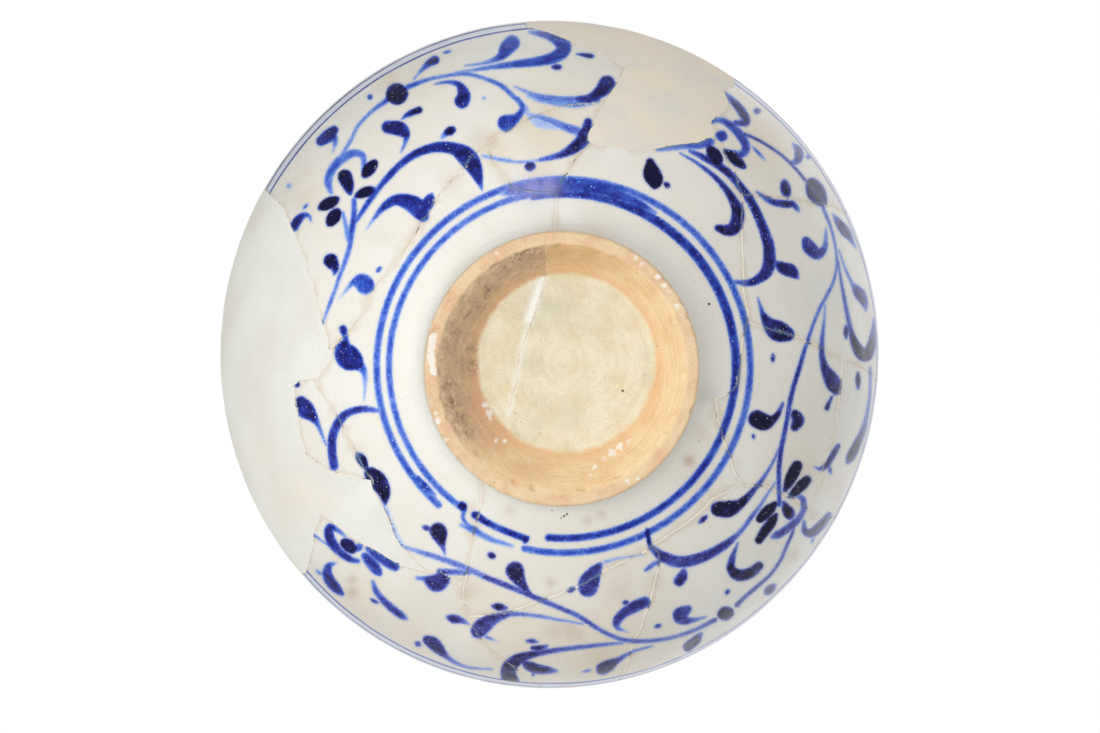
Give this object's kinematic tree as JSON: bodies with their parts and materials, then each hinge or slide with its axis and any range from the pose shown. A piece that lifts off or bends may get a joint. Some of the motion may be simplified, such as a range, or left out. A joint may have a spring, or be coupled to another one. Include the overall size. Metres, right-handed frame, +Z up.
{
  "type": "pottery bowl",
  "caption": "Small footed hemispherical bowl in glazed ceramic, mended from sherds with plaster fills, standing mouth up on its foot ring.",
  "frame": {"origin": "on the standing plane, under the middle of the bowl's foot and mouth", "axes": "+Z up out of the mouth, along the bowl's turning axis; +X and +Y across the mouth, with +X to the right and +Y down in a view from straight below"},
  "size_m": [0.0924, 0.0938, 0.05],
  "materials": {
    "glazed_body": "clear glossy glaze over a white body, painted in cobalt blue, with a bare buff foot ring",
    "plaster_fill": "smooth matt tinted plaster"
  },
  "bodies": {
    "root": {"upper_left_sherd": "glazed_body", "upper_middle_sherd": "glazed_body", "base_left_sherd": "glazed_body", "small_left_sherd": "glazed_body", "lower_left_sherd": "glazed_body", "bottom_sherd": "glazed_body", "base_right_sherd": "glazed_body", "upper_right_sherd": "glazed_body", "right_upper_sherd": "glazed_body", "right_middle_sherd": "glazed_body", "right_edge_sherd": "glazed_body", "lower_right_sherd": "glazed_body", "plaster_fill_left": "plaster_fill", "plaster_fill_upper_right": "plaster_fill"}
  },
  "joints": []
}
